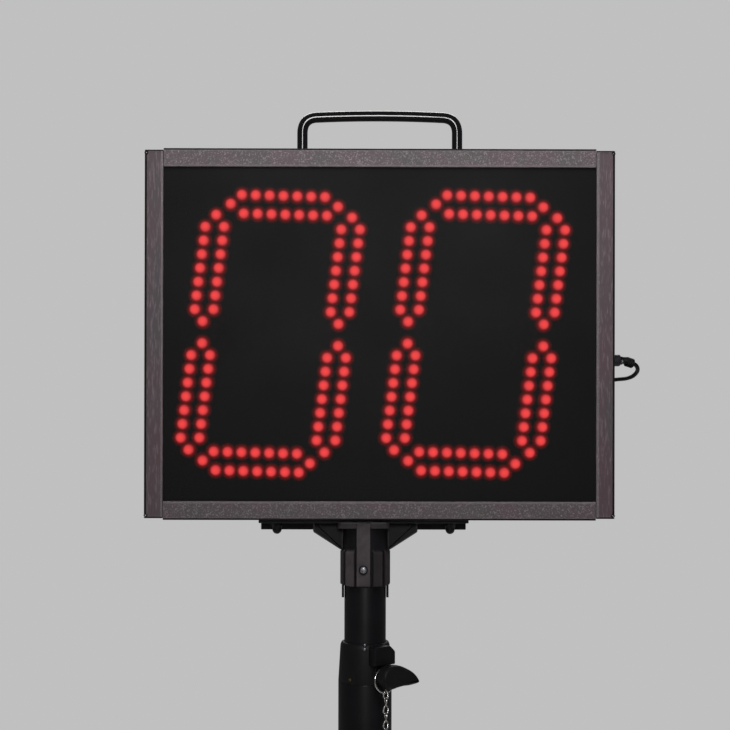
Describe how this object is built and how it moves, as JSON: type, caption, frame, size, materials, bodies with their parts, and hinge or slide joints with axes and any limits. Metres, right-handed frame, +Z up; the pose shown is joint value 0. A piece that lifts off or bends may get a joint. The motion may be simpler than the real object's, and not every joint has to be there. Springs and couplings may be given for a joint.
{
  "type": "shot clock",
  "caption": "Portable shot clock with a two-digit light-dot display in a flat metal case, on a telescopic pole with a folding tripod.",
  "frame": {"origin": "on the floor at the middle of the bounding box of the opened tripod; the pole axis stands 106.5 mm from it towards -Y", "axes": "+Z up along the pole, the display faces -Y, +X to the right seen from the front"},
  "size_m": [0.768, 0.6689, 1.0872],
  "materials": {
    "sand_textured_aluminium": "fine sand texture",
    "smoked_acrylic": "matt smoked",
    "lit_red_lens": "diffused lens",
    "unlit_red_lens": "diffused lens",
    "black_circuit_board": "matt",
    "green_circuit_board": "satin",
    "bare_sheet": "mill",
    "black_enamel": "gloss",
    "black_plastic": "satin",
    "cast_plastic": "satin",
    "cell_wrap": "shrink wrap",
    "bright_steel": "polished",
    "black_rubber": "matt"
  },
  "bodies": {
    "stand": {"lower_tube": "black_enamel", "clamp_collar": "black_plastic", "base_hub": "black_plastic"},
    "pole": {"upper_tube": "black_enamel", "pole_end_plug": "black_plastic"},
    "head": {"left_rail": "sand_textured_aluminium", "right_rail": "sand_textured_aluminium", "top_rail": "sand_textured_aluminium", "bottom_rail": "sand_textured_aluminium", "front_filter": "smoked_acrylic", "left_digit_board": "black_circuit_board", "right_digit_board": "black_circuit_board", "left_segment_a": "lit_red_lens", "left_segment_b": "lit_red_lens", "left_segment_c": "lit_red_lens", "left_segment_d": "lit_red_lens", "left_segment_e": "lit_red_lens", "left_segment_f": "lit_red_lens", "left_segment_g": "unlit_red_lens", "right_segment_a": "lit_red_lens", "right_segment_b": "lit_red_lens", "right_segment_c": "lit_red_lens", "right_segment_d": "lit_red_lens", "right_segment_e": "lit_red_lens", "right_segment_f": "lit_red_lens", "right_segment_g": "unlit_red_lens", "inner_tray": "bare_sheet", "controller_board": "green_circuit_board", "radio_module": "green_circuit_board", "horn": "black_plastic", "rear_cover": "sand_textured_aluminium", "battery_box": "black_plastic", "battery_pack": "cell_wrap", "lead_gland": "black_plastic", "side_socket": "bright_steel", "lead_plug": "black_plastic", "supply_lead": "black_rubber", "carry_handle": "black_enamel", "handle_screw_left": "bright_steel", "handle_screw_right": "bright_steel", "switch_frame": "black_plastic", "mount_bracket": "cast_plastic", "bracket_bolt_left": "bright_steel", "bracket_bolt_right": "bright_steel", "socket_screw": "bright_steel"},
    "rocker": {"power_rocker": "black_plastic"},
    "knob": {"wing_knob": "black_plastic"},
    "chain": {"pin_chain": "bright_steel", "locking_pin": "bright_steel"},
    "slide": {"leg_collar": "black_plastic"},
    "slide_knob": {"collar_knob": "black_plastic"},
    "leg_rear": {"leg_1": "black_enamel", "foot_1": "black_rubber"},
    "leg_left": {"leg_2": "black_enamel", "foot_2": "black_rubber"},
    "leg_right": {"leg_3": "black_enamel", "foot_3": "black_rubber"},
    "brace_rear": {"brace_1": "black_enamel"},
    "brace_left": {"brace_2": "black_enamel"},
    "brace_right": {"brace_3": "black_enamel"}
  },
  "joints": [
    {"name": "pole_slide", "type": "slide", "parent": "stand", "child": "pole", "axis": [0, 0, 1], "range_m": [-0.035, 0.345]},
    {"name": "head_turn", "type": "hinge", "parent": "pole", "child": "head", "pos_m": [0, -0.10654, 0.72], "axis": [0, 0, 1], "continuous": true},
    {"name": "rocker_tilt", "type": "hinge", "parent": "head", "child": "rocker", "pos_m": [-0.1235, -0.07894, 0.898], "axis": [1, 0, 0], "range_deg": [-16, 0]},
    {"name": "knob_turn", "type": "hinge", "parent": "stand", "child": "knob", "pos_m": [0.01613, -0.12718, 0.6146], "axis": [0.6157, -0.788, 0], "range_deg": [0, 360]},
    {"name": "chain_swing", "type": "hinge", "parent": "stand", "child": "chain", "pos_m": [0.01613, -0.12718, 0.6146], "axis": [0.6157, -0.788, 0], "range_deg": [-45, 45]},
    {"name": "leg_slide", "type": "slide", "parent": "stand", "child": "slide", "axis": [0, 0, 1], "range_m": [0, 0.2228]},
    {"name": "slide_knob_turn", "type": "hinge", "parent": "slide", "child": "slide_knob", "pos_m": [0, -0.14253, 0.24616], "axis": [0, -1, 0], "range_deg": [0, 360]},
    {"name": "rear_leg_fold", "type": "hinge", "parent": "slide", "child": "leg_rear", "pos_m": [0, -0.05353, 0.24616], "axis": [-1, 0, 0], "range_deg": [0, 58]},
    {"name": "left_leg_fold", "type": "hinge", "parent": "slide", "child": "leg_left", "pos_m": [-0.0459, -0.13303, 0.24616], "axis": [0.5, -0.866, 0], "range_deg": [0, 58]},
    {"name": "right_leg_fold", "type": "hinge", "parent": "slide", "child": "leg_right", "pos_m": [0.0459, -0.13303, 0.24616], "axis": [0.5, 0.866, 0], "range_deg": [0, 58]},
    {"name": "rear_brace_fold", "type": "hinge", "parent": "stand", "child": "brace_rear", "pos_m": [0, -0.07554, 0.064], "axis": [-1, 0, 0], "range_deg": [-62.2, 0]},
    {"name": "left_brace_fold", "type": "hinge", "parent": "stand", "child": "brace_left", "pos_m": [-0.02685, -0.12204, 0.064], "axis": [0.5, -0.866, 0], "range_deg": [-62.2, 0]},
    {"name": "right_brace_fold", "type": "hinge", "parent": "stand", "child": "brace_right", "pos_m": [0.02685, -0.12204, 0.064], "axis": [0.5, 0.866, 0], "range_deg": [-62.2, 0]}
  ],
  "couplings": [
    {"joint": "rear_leg_fold", "follows": "leg_slide", "rad_per_m": 4.5423},
    {"joint": "left_leg_fold", "follows": "leg_slide", "rad_per_m": 4.5423},
    {"joint": "right_leg_fold", "follows": "leg_slide", "rad_per_m": 4.5423},
    {"joint": "rear_brace_fold", "follows": "leg_slide", "rad_per_m": -4.8708},
    {"joint": "left_brace_fold", "follows": "leg_slide", "rad_per_m": -4.8708},
    {"joint": "right_brace_fold", "follows": "leg_slide", "rad_per_m": -4.8708}
  ]
}
